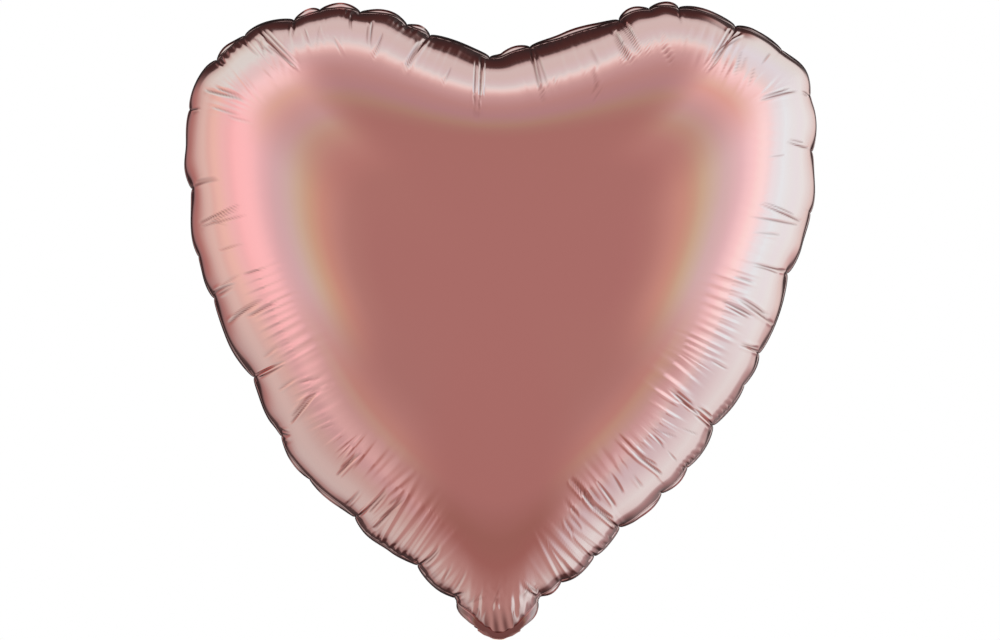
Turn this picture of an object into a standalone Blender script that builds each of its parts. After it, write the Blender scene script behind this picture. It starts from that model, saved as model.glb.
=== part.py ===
"""Heart-shaped foil balloon, inflated, with its tail folded up behind it.

The balloon is two sheets of metallised film, heat-sealed round a heart-shaped
rim and blown up to a pillow. At the bottom tip both sheets run on as a flat
tail, and a self-sealing valve of two thin plies lies between them: its throat
in the tail, its neck through the tip, and its tongue free inside the balloon.

Frame: +Z is up, +X is to the right seen from the front, and the front faces
-Y. The origin is the middle of the fold line at the bottom tip, where a
ribbon is tied. The seal lies in the plane y = 0. Units are metres.
"""

import math

import bpy
import numpy as np
from mathutils import Vector
from mathutils.geometry import interpolate_bezier

# Driving dimensions of the inflated heart, from which the outline is drawn.
HALF_WIDTH = 0.1905        # middle to the widest point of a lobe
WIDEST_HEIGHT = 0.303      # height of that widest point
LOBE_X = 0.0965            # middle to the top of a lobe
LOBE_HEIGHT = 0.384
NOTCH_HEIGHT = 0.3545      # bottom of the notch between the lobes
SHOULDER_X = 0.027         # where the blunt tip turns into the long side
SHOULDER_HEIGHT = 0.022
TIP_HEIGHT = 0.0015        # the panels end just above the fold line
HALF_DEPTH = 0.082         # seal to the middle of one panel
CENTRE_HEIGHT = 0.215      # the point that the panels' rings close on

# Film and seal. The solid film is thicker than real film, which is 0.05 mm.
FILM = 0.0004
SEAL_WIDTH = 0.005         # flat margin outside the pillow
CLEARANCE = 0.0003         # gap between two films that touch

# Valve plies.
PLY = 0.0003
VALVE_WIDTH = 0.024
NECK_TOP = 0.0100          # the valve's neck ends and its tongue begins
TONGUE_TOP = 0.068
HINGE_GAP = 0.0004         # space left at each bend

# Tail, measured down from the fold line as it hangs.
TAIL_LENGTH = 0.075
TAIL_TOP_WIDTH = 0.030
TAIL_END_WIDTH = 0.042
TAIL_START = 0.0022        # the fold takes the first stretch
TAIL_FOLD = math.radians(124)  # turn from hanging to folded up behind
INLET_NOTCH = 0.006        # radius of the half-round cut that bares the valve's mouth
MOUTH_SETBACK = 0.003      # the valve's mouth stops this far above the tail's end
END_RADIUS = 0.004         # rounded corners at the tail's end

# How finely the panels are meshed.
RIM_POINTS = 72
RING_SCALES = [0.985, 0.955, 0.91, 0.845, 0.76, 0.65, 0.51, 0.35, 0.18]
CURVE_STEPS = 60


def clear_scene():
    for item in list(bpy.data.objects):
        bpy.data.objects.remove(item)


def make_collection(name):
    group = bpy.data.collections.new(name)
    bpy.context.scene.collection.children.link(group)
    return group


def make_material(name, colour, roughness, metallic, alpha=1.0):
    material = bpy.data.materials.new(name)
    material.use_nodes = True
    shader = material.node_tree.nodes["Principled BSDF"]
    shader.inputs["Base Color"].default_value = (*colour, 1.0)
    shader.inputs["Roughness"].default_value = roughness
    shader.inputs["Metallic"].default_value = metallic
    shader.inputs["Alpha"].default_value = alpha
    return material


def polar(length, degrees):
    """A vector of a length at an angle up from +X, in the seal plane."""
    angle = math.radians(degrees)
    return Vector((length * math.cos(angle), length * math.sin(angle)))


def half_outline():
    """The right half of the heart from the tip to the notch, as (x, z) points."""
    tip = Vector((0.0, TIP_HEIGHT))
    shoulder = Vector((SHOULDER_X, SHOULDER_HEIGHT))
    side = Vector((HALF_WIDTH, WIDEST_HEIGHT))
    lobe = Vector((LOBE_X, LOBE_HEIGHT))
    notch = Vector((0.0, NOTCH_HEIGHT))
    arcs = [
        (tip, tip + polar(0.014, 0), shoulder - polar(0.006, 80), shoulder),
        (shoulder, shoulder + polar(0.065, 36), side - polar(0.153, 90), side),
        (side, side + polar(0.056, 90), lobe + polar(0.040, 0), lobe),
        (lobe, lobe - polar(0.020, 0), notch + polar(0.014, 12), notch),
    ]
    points = []
    for knot, handle, next_handle, next_knot in arcs:
        points += interpolate_bezier(knot, handle, next_handle, next_knot, CURVE_STEPS)[:-1]
    points.append(notch)
    return np.array([(point.x, point.y) for point in points])


def rim_outline():
    """The closed outline, evenly spaced, from the tip round the right side and back."""
    half = half_outline()
    steps = np.hypot(*np.diff(half, axis=0).T)
    run = np.concatenate([[0.0], np.cumsum(steps)])
    even = np.linspace(0.0, run[-1], RIM_POINTS // 2 + 1)
    right = np.column_stack([np.interp(even, run, half[:, axis]) for axis in (0, 1)])
    left = right[-2:0:-1] * (-1, 1)
    return np.vstack([right, left])


def inset(outline, distance):
    """The outline moved inward along its normals."""
    along = np.roll(outline, -1, axis=0) - np.roll(outline, 1, axis=0)
    along /= np.hypot(*along.T)[:, None]
    return outline + distance * np.column_stack([-along[:, 1], along[:, 0]])


def panel_points(outline):
    """Rings of points: the seal's two edges, then rings that close on the centre."""
    centre = np.array([0.0, CENTRE_HEIGHT])
    pillow_edge = inset(outline, SEAL_WIDTH)
    rings = [outline, pillow_edge]
    rings += [centre + scale * (pillow_edge - centre) for scale in RING_SCALES]
    return np.vstack(rings + [centre])


def panel_faces():
    """Quads between neighbouring rings and a fan of triangles at the centre."""
    rings = len(RING_SCALES) + 2
    faces = []
    for ring in range(rings - 1):
        for step in range(RIM_POINTS):
            after = (step + 1) % RIM_POINTS
            outer = ring * RIM_POINTS
            inner = outer + RIM_POINTS
            faces.append((outer + step, outer + after, inner + after, inner + step))
    last = (rings - 1) * RIM_POINTS
    for step in range(RIM_POINTS):
        faces.append((last + step, last + (step + 1) % RIM_POINTS, rings * RIM_POINTS))
    return faces


def membrane_height(points, faces, held):
    """Height of an evenly pressed membrane, 0 on its held points and 1 at its top.

    Linear finite elements for the Poisson equation, one per triangle.
    """
    count = len(points)
    stiffness = np.zeros((count, count))
    load = np.zeros(count)
    for face in faces:
        for step in range(1, len(face) - 1):
            corners = [face[0], face[step], face[step + 1]]
            a, b, c = points[corners]
            edges = np.array([c - b, a - c, b - a])
            area = abs(edges[0][0] * edges[1][1] - edges[0][1] * edges[1][0]) / 2
            stiffness[np.ix_(corners, corners)] += edges @ edges.T / (4 * area)
            load[corners] += area / 3
    free = np.arange(held, count)
    height = np.zeros(count)
    height[free] = np.linalg.solve(stiffness[np.ix_(free, free)], load[free])
    return height / height.max()


def smooth_step(value):
    value = np.clip(value, 0.0, 1.0)
    return value * value * (3 - 2 * value)


def panel_depth(points, faces):
    """Distance of each point of a panel's inner face from the seal plane."""
    height = membrane_height(points, faces, 2 * RIM_POINTS)
    pillow = HALF_DEPTH * np.sqrt(1 - (1 - height) ** 1.5)
    # The seal opens at the tip, where the valve's neck passes between the panels.
    across = smooth_step(2.2 - np.abs(points[:, 0]) / (VALVE_WIDTH / 2))
    up = smooth_step(2.0 - points[:, 1] / NECK_TOP)
    neck_opening = (PLY + CLEARANCE) * across * up
    return CLEARANCE / 2 + np.maximum(pillow, neck_opening)


def make_panel(name, side, material, group):
    """One sheet of the balloon. side is -1 for the front and 1 for the back."""
    points = panel_points(rim_outline())
    faces = panel_faces()
    depth = panel_depth(points, faces)
    vertices = [(x, side * y, z) for (x, z), y in zip(points, depth)]
    if side > 0:
        faces = [face[::-1] for face in faces]
    mesh = bpy.data.meshes.new(name)
    mesh.from_pydata(vertices, [], faces)
    mesh.shade_smooth()
    panel = bpy.data.objects.new(name, mesh)
    panel.data.materials.append(material)
    group.objects.link(panel)
    shell = panel.modifiers.new("film", "SOLIDIFY")
    shell.thickness = FILM
    shell.offset = 1.0
    return panel


def arc_points(centre, radius, start, end, steps=6):
    """Points along an arc in the (x, z) plane; angles in degrees."""
    return [Vector(centre) + polar(radius, start + (end - start) * step / steps)
            for step in range(steps + 1)]


def make_strip(name, outline, thickness, middle, material, group, parent):
    """A flat film, cut to an outline in the XZ plane, with its mid-plane at y = middle."""
    curve = bpy.data.curves.new(name, "CURVE")
    curve.dimensions = "2D"
    curve.fill_mode = "BOTH"
    curve.extrude = thickness / 2
    spline = curve.splines.new("POLY")
    spline.points.add(len(outline) - 1)
    for point, (x, z) in zip(spline.points, outline):
        point.co = (x, z, 0.0, 1.0)
    spline.use_cyclic_u = True
    strip = bpy.data.objects.new(name, curve)
    strip.data.materials.append(material)
    strip.parent = parent
    strip.location = (0.0, middle, 0.0)
    strip.rotation_euler = (math.pi / 2, 0.0, 0.0)
    group.objects.link(strip)
    return strip


def rectangle(width, bottom, top):
    half = width / 2
    return [(-half, bottom), (half, bottom), (half, top), (-half, top)]


def tail_outline(notched):
    """The tail's outline as it hangs: flared, with rounded corners at its end."""
    top = TAIL_TOP_WIDTH / 2
    end = TAIL_END_WIDTH / 2
    corner = (end - END_RADIUS, -TAIL_LENGTH + END_RADIUS)
    right = arc_points(corner, END_RADIUS, -90, 0)
    left = [Vector((-point.x, point.y)) for point in reversed(right)]
    mouth = arc_points((0.0, -TAIL_LENGTH), INLET_NOTCH, 180, 0, 12) if notched else []
    return [(-top, -TAIL_START)] + left + mouth + right + [(top, -TAIL_START)]


def make_axis(name, location, turn, group):
    """An empty on a joint's axis, for the pieces that turn about it."""
    axis = bpy.data.objects.new(name, None)
    axis.location = location
    axis.rotation_euler = (turn, 0.0, 0.0)
    group.objects.link(axis)
    return axis


def main():
    clear_scene()
    group = make_collection("heart_foil_balloon")
    rose_film = make_material("rose_metallised_film", (0.55, 0.24, 0.21), 0.28, 1.0)
    tail_film = make_material("rose_tail_film", (0.55, 0.24, 0.21), 0.32, 1.0)
    valve_film = make_material("clear_valve_film", (0.86, 0.87, 0.88), 0.35, 0.0, 0.5)

    make_panel("front_panel", -1, rose_film, group)
    make_panel("back_panel", 1, rose_film, group)

    tail_axis = make_axis("tail_fold_axis", (0.0, 0.0, 0.0), TAIL_FOLD, group)
    tongue_axis = make_axis("valve_tongue_axis", (0.0, 0.0, NECK_TOP), 0.0, group)
    ply_middle = (CLEARANCE + PLY) / 2
    tail_middle = CLEARANCE / 2 + PLY + CLEARANCE + FILM / 2
    throat = rectangle(VALVE_WIDTH, -TAIL_LENGTH + MOUTH_SETBACK, -TAIL_START)
    neck = rectangle(VALVE_WIDTH, TIP_HEIGHT, NECK_TOP - HINGE_GAP)
    tongue = rectangle(VALVE_WIDTH, HINGE_GAP, TONGUE_TOP - NECK_TOP)
    for label, side in (("front", -1), ("back", 1)):
        make_strip(f"tail_{label}_film", tail_outline(side > 0), FILM, side * tail_middle,
                   tail_film, group, tail_axis)
        make_strip(f"valve_throat_{label}", throat, PLY, side * ply_middle,
                   valve_film, group, tail_axis)
        make_strip(f"valve_neck_{label}", neck, PLY, side * ply_middle,
                   valve_film, group, None)
        make_strip(f"valve_tongue_{label}", tongue, PLY, side * ply_middle,
                   valve_film, group, tongue_axis)


main()
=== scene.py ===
"""Looks of the heart-shaped foil balloon.

Both panels are made again as fine film: a pillow whose height is a pressed
membrane's, gathered into scallops at the puckers of its rim seal, with ripples
over the shoulder and thin creases. The tail's two films bend at the fold line, and
the valve's films run through them.
Units are metres; +Z is up and the front faces -Y, as in the frame.
"""

import math

import bpy
import numpy as np
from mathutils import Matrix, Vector
from mathutils.geometry import interpolate_bezier
from mathutils.kdtree import KDTree


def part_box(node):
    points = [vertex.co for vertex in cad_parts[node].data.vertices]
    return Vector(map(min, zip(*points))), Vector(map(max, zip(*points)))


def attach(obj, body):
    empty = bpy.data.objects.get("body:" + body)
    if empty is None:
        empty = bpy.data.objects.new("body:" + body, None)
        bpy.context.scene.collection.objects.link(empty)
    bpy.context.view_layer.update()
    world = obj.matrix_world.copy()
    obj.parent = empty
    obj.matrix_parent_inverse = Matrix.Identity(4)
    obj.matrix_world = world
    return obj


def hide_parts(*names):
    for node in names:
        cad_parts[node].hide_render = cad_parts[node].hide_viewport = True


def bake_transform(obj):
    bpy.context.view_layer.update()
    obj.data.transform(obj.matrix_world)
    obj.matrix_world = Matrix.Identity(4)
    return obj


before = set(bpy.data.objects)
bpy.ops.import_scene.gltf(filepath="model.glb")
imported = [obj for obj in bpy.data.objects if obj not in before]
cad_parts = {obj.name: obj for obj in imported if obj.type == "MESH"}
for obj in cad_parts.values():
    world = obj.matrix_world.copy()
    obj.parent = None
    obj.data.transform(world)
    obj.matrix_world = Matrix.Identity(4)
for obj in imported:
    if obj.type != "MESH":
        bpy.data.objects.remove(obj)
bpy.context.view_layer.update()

PANEL_LOW, PANEL_HIGH = (Vector(corner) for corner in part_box("front_panel"))

# The heart's outline, as in the design.
HALF_WIDTH = PANEL_HIGH.x
LOBE_HEIGHT = PANEL_HIGH.z
TIP_HEIGHT = PANEL_LOW.z
HALF_DEPTH = -PANEL_LOW.y
WIDEST_HEIGHT = 0.303
LOBE_X = 0.0965
NOTCH_HEIGHT = 0.3545
SHOULDER_X = 0.027
SHOULDER_HEIGHT = 0.022
CENTRE_HEIGHT = 0.215

# Film and rim seal.
FILM = 0.00020
SEAL_SIDE = 0.0006         # seal line to the outline, seen from the front, at the sides
SEAL_END = 0.0026          # and at the top and bottom
SEAL_WIDTH = 0.0080        # the margin's own width
SEAL_LEAN = 1.48           # how far the margin leans back at the sides, in radians
SEAL_LEAN_END = 1.28       # and at the top and bottom
SEAL_STEPS = (0.04, 0.52, 0.57, 1.0)   # rings of the margin, as shares of its width
SEAL_GAP = 0.00003         # each panel's inner face to the seam plane
LINING_INSET = 0.0045      # how far the hidden inner face keeps behind the creases
INLET_HALF_WIDTH = 0.0130  # the seal stays open here, at the tip, for the valve
INLET_GAP = 0.00075
TIP_SEAL = 0.0034          # the margin's width at the tip
TIP_SEAL_BACK = 0.0008     # and behind, where the folded tail lies
TIP_PAINTED_SHADE = 0.70        # painted shade on the gathered film at the tip, and in the tail's fold

# Tail, which rests folded up behind the tip.
TAIL_LENGTH = 0.075
TAIL_TOP_WIDTH = 0.030
TAIL_END_WIDTH = 0.042
TAIL_CORNER = 0.004
TAIL_FOLD = math.radians(124)
TAIL_TOP = 0.0050          # how far its films reach up into the tip
TAIL_GAP = 0.00052         # from its middle plane to a film
TAIL_FILM = 0.00012
TAIL_LIFT = 0.0048         # how much higher the fold is at the valve's edges, as the tip is round
TAIL_CLEAR = 0.0020        # from its middle plane to the panel that it lies against
TAIL_OPEN = 0.0124         # its films are welded together from here to their edges,
TAIL_WELD = 0.0024         # and come together over this width
TAIL_PLEAT = 0.0058        # pleats near the fold, and their height
TAIL_PLEAT_RISE = 0.0006
TAIL_SAG = 0.017           # slow waves further down, and their height
TAIL_SAG_RISE = 0.0005
TAIL_COLUMNS = 61
INLET_NOTCH = 0.006

# Valve films: the throat lies in the tail and the neck in the tip.
VALVE_HALF_WIDTH = 0.012
VALVE_GAP = 0.00015
VALVE_FILM = 0.00012
VALVE_COLUMNS = 25
THROAT_START, THROAT_END = 0.0022, 0.0720
NECK_LOW, NECK_HIGH = 0.0015, 0.0096

FLOOR_HEIGHT = -0.35
FLOOR_RADIUS = 2.5
VIEW_WIDTH = 0.6031        # what the camera sees across, at the seam plane
VIEW_DISTANCE = 2.2

# How far the outline stands in from the design's (out, below 0), by place from the tip.
RIGHT_TRIM = (
    (0.000, 0.0002), (0.010, 0.0020), (0.021, 0.0036), (0.045, 0.0022), (0.060, 0.0003),
    (0.075, 0.0010), (0.095, 0.0036), (0.112, 0.0029), (0.130, 0.0008), (0.160, 0.0000),
    (0.190, 0.0026), (0.212, 0.0008), (0.237, 0.0014), (0.282, 0.0028), (0.308, 0.0010),
    (0.333, -0.0022), (0.356, 0.0000), (0.393, -0.0014), (0.413, -0.0045), (0.430, -0.0022),
    (0.452, 0.0005), (0.477, 0.0016), (0.500, 0.0003), (0.525, 0.0014), (0.553, 0.0040),
    (0.573, 0.0036), (0.596, 0.0012),
)
LEFT_TRIM = (
    (0.010, 0.0026), (0.021, 0.0036), (0.034, 0.0009), (0.046, 0.0001), (0.068, 0.0018),
    (0.085, 0.0005), (0.104, -0.0022), (0.122, -0.0008), (0.150, -0.0044), (0.168, -0.0040),
    (0.190, -0.0008), (0.214, 0.0021), (0.250, 0.0012), (0.290, 0.0003), (0.308, -0.0008),
    (0.335, 0.0020), (0.354, 0.0004), (0.370, 0.0022), (0.396, 0.0006), (0.418, 0.0008),
    (0.440, 0.0028), (0.455, 0.0014), (0.488, 0.0044), (0.505, 0.0022), (0.527, 0.0014),
    (0.546, -0.0008), (0.562, 0.0020), (0.596, 0.0026),
)

# Puckers of the rim seal: (place along the rim from the tip, how far it draws in).
RIGHT_PUCKERS = (
    (0.036, 0.0018), (0.051, 0.0025), (0.077, 0.0040), (0.100, 0.0055), (0.133, 0.0040),
    (0.155, 0.0022), (0.185, 0.0052), (0.216, 0.0020), (0.237, 0.0036), (0.289, 0.0048),
    (0.328, 0.0018), (0.365, 0.0036), (0.399, 0.0016), (0.431, 0.0020), (0.463, 0.0048),
    (0.500, 0.0036), (0.519, 0.0028), (0.539, 0.0052), (0.595, 0.0032),
)
LEFT_PUCKERS = (
    (0.037, 0.0018), (0.067, 0.0044), (0.115, 0.0042), (0.150, 0.0010), (0.181, 0.0022),
    (0.220, 0.0048), (0.274, 0.0030), (0.301, 0.0014), (0.342, 0.0044), (0.391, 0.0030),
    (0.427, 0.0032), (0.450, 0.0026), (0.483, 0.0046), (0.500, 0.0012), (0.526, 0.0042),
    (0.556, 0.0032), (0.571, 0.0042), (0.609, 0.0046),
)
DRAW_SHARE = 0.60          # how much of its draw a pucker keeps
SCALLOP_RISE = 0.0008      # bulge of a full-size scallop between two puckers
FULL_SCALLOP = 0.045       # a scallop this long has the full bulge
SCALLOP_REACH = 0.021      # film length over which the scallops fade

# Ripples: (place on the rim, half width, strength, distance in from the seal, reach).
RIPPLE_LENGTH = 0.0062
FINE_RIPPLE = 0.0031
RIPPLE_RISE = 0.00027
RIPPLE_PATCHES = (
    (0.074, 0.026, 1.3, 0.012, 0.018), (0.160, 0.055, 1.1, 0.034, 0.010),
    (0.250, 0.045, 0.9, 0.034, 0.010), (0.335, 0.050, 0.25, 0.030, 0.012),
    (0.440, 0.040, 0.9, 0.027, 0.010), (0.510, 0.040, 0.7, 0.019, 0.006),
    (0.570, 0.030, 0.6, 0.012, 0.014), (0.600, 0.018, 0.3, 0.016, 0.014),
    (-0.084, 0.022, 1.2, 0.014, 0.020), (-0.155, 0.055, 1.1, 0.034, 0.010),
    (-0.052, 0.012, 0.9, 0.004, 0.010),
    (-0.250, 0.040, 0.8, 0.035, 0.010), (-0.330, 0.040, 0.25, 0.032, 0.012),
    (-0.430, 0.040, 0.9, 0.027, 0.010), (-0.505, 0.035, 0.7, 0.019, 0.006),
    (-0.570, 0.030, 0.4, 0.012, 0.014),
)

# The larger creases: (end at the rim, inner end, depth), in x and z.
STRONG, CLEAR, LIGHT = 0.00105, 0.00080, 0.00048
CREASES = (
    ((-0.1834, 0.2720), (-0.1654, 0.2750), CLEAR), ((-0.1784, 0.2500), (-0.1524, 0.2605), CLEAR),
    ((-0.1770, 0.2478), (-0.1480, 0.2540), LIGHT), ((-0.1724, 0.2075), (-0.1564, 0.2135), CLEAR),
    ((-0.1614, 0.1900), (-0.1384, 0.2040), CLEAR), ((-0.1474, 0.1940), (-0.1294, 0.2030), LIGHT),
    ((-0.1464, 0.1585), (-0.1264, 0.1675), STRONG), ((-0.1234, 0.1310), (-0.1054, 0.1520), CLEAR),
    ((-0.1314, 0.1235), (-0.1244, 0.1235), CLEAR), ((-0.0956, 0.1001), (-0.0808, 0.1140), CLEAR),
    ((-0.0922, 0.0806), (-0.0816, 0.0920), LIGHT), ((-0.0846, 0.0740), (-0.0660, 0.0930), STRONG),
    ((-0.0744, 0.0674), (-0.0545, 0.0878), STRONG), ((-0.0486, 0.0445), (-0.0350, 0.0583), STRONG),
    ((-0.0283, 0.0255), (-0.0203, 0.0297), CLEAR), ((0.1289, 0.1285), (0.1145, 0.1405), STRONG),
    ((0.1175, 0.1365), (0.0990, 0.1520), CLEAR), ((0.0966, 0.1005), (0.0794, 0.1135), CLEAR),
    ((0.0717, 0.0672), (0.0514, 0.0860), STRONG), ((0.0560, 0.0815), (0.0402, 0.0990), CLEAR),
    ((0.0689, 0.0820), (0.0577, 0.0970), LIGHT), ((0.0246, 0.0250), (0.0125, 0.0360), STRONG),
    ((0.1852, 0.2947), (0.1701, 0.2979), CLEAR), ((0.1797, 0.2506), (0.1529, 0.2608), CLEAR),
    ((0.1780, 0.2485), (0.1470, 0.2530), LIGHT), ((0.1722, 0.2210), (0.1488, 0.2258), CLEAR),
    ((0.1642, 0.1897), (0.1401, 0.2050), STRONG), ((0.1496, 0.1945), (0.1304, 0.2035), CLEAR),
    ((0.1561, 0.1725), (0.1423, 0.1770), CLEAR), ((-0.0413, 0.3629), (-0.0561, 0.3378), STRONG),
    ((-0.0105, 0.3507), (-0.0120, 0.3105), STRONG), ((0.0180, 0.3573), (0.0262, 0.3186), STRONG),
    ((0.0205, 0.3560), (0.0300, 0.3240), LIGHT), ((-0.1233, 0.3743), (-0.1226, 0.3592), CLEAR),
    ((-0.1455, 0.3680), (-0.1197, 0.3415), STRONG), ((-0.1400, 0.3600), (-0.1180, 0.3400), CLEAR),
    ((-0.1713, 0.3510), (-0.1644, 0.3436), CLEAR), ((-0.1750, 0.3292), (-0.1509, 0.3225), STRONG),
    ((-0.1864, 0.3186), (-0.1784, 0.3186), CLEAR), ((-0.0880, 0.3770), (-0.0874, 0.3638), CLEAR),
    ((-0.0750, 0.3706), (-0.0760, 0.3540), CLEAR), ((-0.0688, 0.3622), (-0.0750, 0.3460), LIGHT),
    ((0.0726, 0.3740), (0.0845, 0.3480), STRONG), ((0.0690, 0.3634), (0.0790, 0.3425), CLEAR),
    ((0.1430, 0.3690), (0.1231, 0.3384), STRONG), ((0.1447, 0.3643), (0.1250, 0.3478), CLEAR),
    ((0.1770, 0.3284), (0.1542, 0.3218), STRONG), ((0.1870, 0.3274), (0.1811, 0.3290), CLEAR),
    ((0.1080, 0.3795), (0.1085, 0.3674), LIGHT),
)
CREASE_WIDTH = 0.00072
SMALL_CREASES = 60

# Stretches of the rim with short pleats at the seal: (place, half width).
TEETH = ((0.088, 0.012), (0.160, 0.012), (0.196, 0.008), (0.575, 0.020), (-0.085, 0.020),
         (-0.438, 0.013), (-0.520, 0.007), (-0.557, 0.008), (-0.181, 0.006))
TOOTH_LENGTH = 0.0042
TOOTH_RISE = 0.00035
TIP_FOLDS = (0.0088, 0.0052)   # widths of the two waves of folds at the tip
TIP_FOLD_RISE = 0.00070

# Mesh of a panel. A middle band is (share of rim to centre that it reaches, rings, and
# by how much its rings' points are thinned out); the first goes on round the shoulder.
ROUND_SHARE = 0.30         # the rounded part of the pillow, as a share of rim to centre
FINE_ANGLE = math.radians(74)
FINE_RINGS = 32
CROWDING = 1.6             # how much closer the points stand at a pucker, and how far round it
CROWDING_REACH = 0.0035
FINE_POINTS = 2048
SEAL_RINGS = len(SEAL_STEPS)
MIDDLE_BANDS = ((1.00, 6, 2), (0.55, 8, 4), (0.80, 8, 8), (0.95, 4, 16))
LINING_THIN = 4            # the hidden face has a quarter of the fine points
LINING_RINGS = 9


def polar(length, degrees):
    angle = math.radians(degrees)
    return Vector((length * math.cos(angle), length * math.sin(angle)))


def half_outline():
    """The right half of the heart from the tip to the notch, as (x, z) points."""
    tip = Vector((0.0, TIP_HEIGHT))
    shoulder = Vector((SHOULDER_X, SHOULDER_HEIGHT))
    side = Vector((HALF_WIDTH, WIDEST_HEIGHT))
    lobe = Vector((LOBE_X, LOBE_HEIGHT))
    notch = Vector((0.0, NOTCH_HEIGHT))
    arcs = [
        (tip, tip + polar(0.014, 0), shoulder - polar(0.006, 80), shoulder),
        (shoulder, shoulder + polar(0.065, 36), side - polar(0.153, 90), side),
        (side, side + polar(0.056, 90), lobe + polar(0.040, 0), lobe),
        (lobe, lobe - polar(0.020, 0), notch + polar(0.014, 12), notch),
    ]
    points = []
    for knot, handle, next_handle, next_knot in arcs:
        points += interpolate_bezier(knot, handle, next_handle, next_knot, 400)[:-1]
    points.append(notch)
    return np.array([(point.x, point.y) for point in points])


class Rim:
    """The closed outline from the tip round the right side, and its puckers.

    Its points stand closer together at the puckers.
    """

    def __init__(self, count):
        half = half_outline()
        outline = np.vstack([half, half[-2::-1] * (-1, 1)])
        run = np.concatenate([[0.0], np.cumsum(np.hypot(*np.diff(outline, axis=0).T))])
        self.length = run[-1]
        outline = self.trimmed(outline, run)
        self.puckers, self.draws = self.both_sides(RIGHT_PUCKERS, LEFT_PUCKERS)
        self.count = count
        self.places = self.spread(count)
        self.points = np.column_stack([np.interp(self.places, run, outline[:, axis])
                                       for axis in (0, 1)])
        along = np.roll(self.points, -3, axis=0) - np.roll(self.points, 3, axis=0)
        self.along = along / np.hypot(*along.T)[:, None]
        self.outward = np.column_stack([self.along[:, 1], -self.along[:, 0]])
        inset = SEAL_SIDE + (SEAL_END - SEAL_SIDE) * self.outward[:, 1] ** 2
        self.seal = self.points - inset[:, None] * self.outward

    def both_sides(self, right, left):
        """Places and values of both sides' stops, with the places counted round from the tip."""
        stops = list(right) + [(self.length - place, value) for place, value in left]
        return np.array(sorted(stops)).T

    def between(self, stops, places):
        """For each place the next stop's number, the gap it lies in, and its share of the gap."""
        after = np.searchsorted(stops, places) % len(stops)
        gap = (stops[after] - stops[after - 1]) % self.length
        return after, gap, ((places - stops[after - 1]) % self.length) / gap

    def trimmed(self, outline, run):
        """The outline with its larger waves, which aren't alike on its two sides."""
        stops, trims = self.both_sides(RIGHT_TRIM, LEFT_TRIM)
        after, _, share = self.between(stops, run % self.length)
        share = smooth(share)
        trim = trims[after - 1] * (1 - share) + trims[after] * share
        along = np.gradient(outline, axis=0)
        along /= np.hypot(*along.T)[:, None]
        return outline - trim[:, None] * np.column_stack([along[:, 1], -along[:, 0]])

    def spread(self, count):
        """Places of the mesh's points, closer together at the puckers."""
        fine = np.linspace(0, self.length, 20001)
        crowding = np.ones(len(fine))
        for pucker in self.puckers:
            crowding += CROWDING * np.exp(-(self.away(fine, pucker) / CROWDING_REACH) ** 2)
        total = np.concatenate([[0.0], np.cumsum(crowding[1:])])
        return np.interp(np.arange(count) * total[-1] / count, total, fine)

    def away(self, places, place):
        """Signed distance along the rim from a place, the short way round."""
        return (places - place + self.length / 2) % self.length - self.length / 2

    def scallop(self, places, power=0.35):
        """How far the rim stands out between puckers and in at them."""
        after, span, along = self.between(self.puckers, places)
        arch = np.abs(np.sin(math.pi * along)) ** power
        draw = DRAW_SHARE * (self.draws[after - 1] * (1 - along) + self.draws[after] * along)
        return SCALLOP_RISE * np.minimum(1.0, span / FULL_SCALLOP) * arch - draw * (1 - arch)

    def sliver(self, places):
        """How far the margin's edge folds forward, 0 to 1: each scallop has its own amount."""
        after, _, along = self.between(self.puckers, places)
        amounts = np.random.default_rng(23).uniform(0.1, 1.0, len(self.puckers))
        lean = np.random.default_rng(24).uniform(0.7, 1.5, len(self.puckers))
        ends = np.interp(places, self.places, self.outward[:, 1] ** 2, period=self.length)
        share = amounts[after] * np.clip(0.12 + 1.2 * ends, 0, 1)
        return share * np.sin(math.pi * along ** lean[after]) ** 1.3

    def nearest(self, flat):
        """Place of the rim point nearest to each flat point, and how far away it is."""
        tree = KDTree(self.count)
        for number, (x, z) in enumerate(self.points):
            tree.insert((x, z, 0), number)
        tree.balance()
        found = [tree.find((x, z, 0))[1:] for x, z in flat]
        index = np.array([number for number, _ in found])
        away = np.array([distance for _, distance in found])
        turn = np.roll(self.along, -4, axis=0) - np.roll(self.along, 4, axis=0)
        step = (np.roll(self.places, -4) - np.roll(self.places, 4)) % self.length
        curve = -np.einsum("ij,ij->i", turn, self.outward) / step
        off = np.einsum("ij,ij->i", flat - self.points[index], self.along[index])
        stretch = 1 / np.clip(1 - curve[index] * away, 0.3, 3.0)
        return (self.places[index] + off * stretch) % self.length, away


def smooth(share):
    """0 to 1 with a level start and end."""
    return share * share * (3 - 2 * share)


def wander(places, period, length, seed):
    """Smooth noise from -1 to 1 along the closed rim, about one swing in each period."""
    count = max(4, round(length / period))
    knots = np.random.default_rng(seed).uniform(-1, 1, count)
    at = places / length * count
    low = np.floor(at).astype(int)
    blend = smooth(at - low)
    return knots[low % count] * (1 - blend) + knots[(low + 1) % count] * blend


def ring_plan():
    """(share of the way from the seal to the centre, thinning of the points) of each ring."""
    angles = np.linspace(0, FINE_ANGLE, FINE_RINGS, endpoint=False)
    plan = [(ROUND_SHARE * (1 - math.cos(angle)), 1) for angle in angles]
    _, rings, thin = MIDDLE_BANDS[0]
    for angle in np.linspace(FINE_ANGLE, math.pi / 2, rings, endpoint=False):
        plan.append((ROUND_SHARE * (1 - math.cos(angle)), thin))
    share = ROUND_SHARE
    for to, rings, thin in MIDDLE_BANDS[1:]:
        plan += [(at, thin) for at in np.linspace(share, to, rings, endpoint=False)]
        share = to
    plan.append((share, MIDDLE_BANDS[-1][2]))
    return plan


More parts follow.
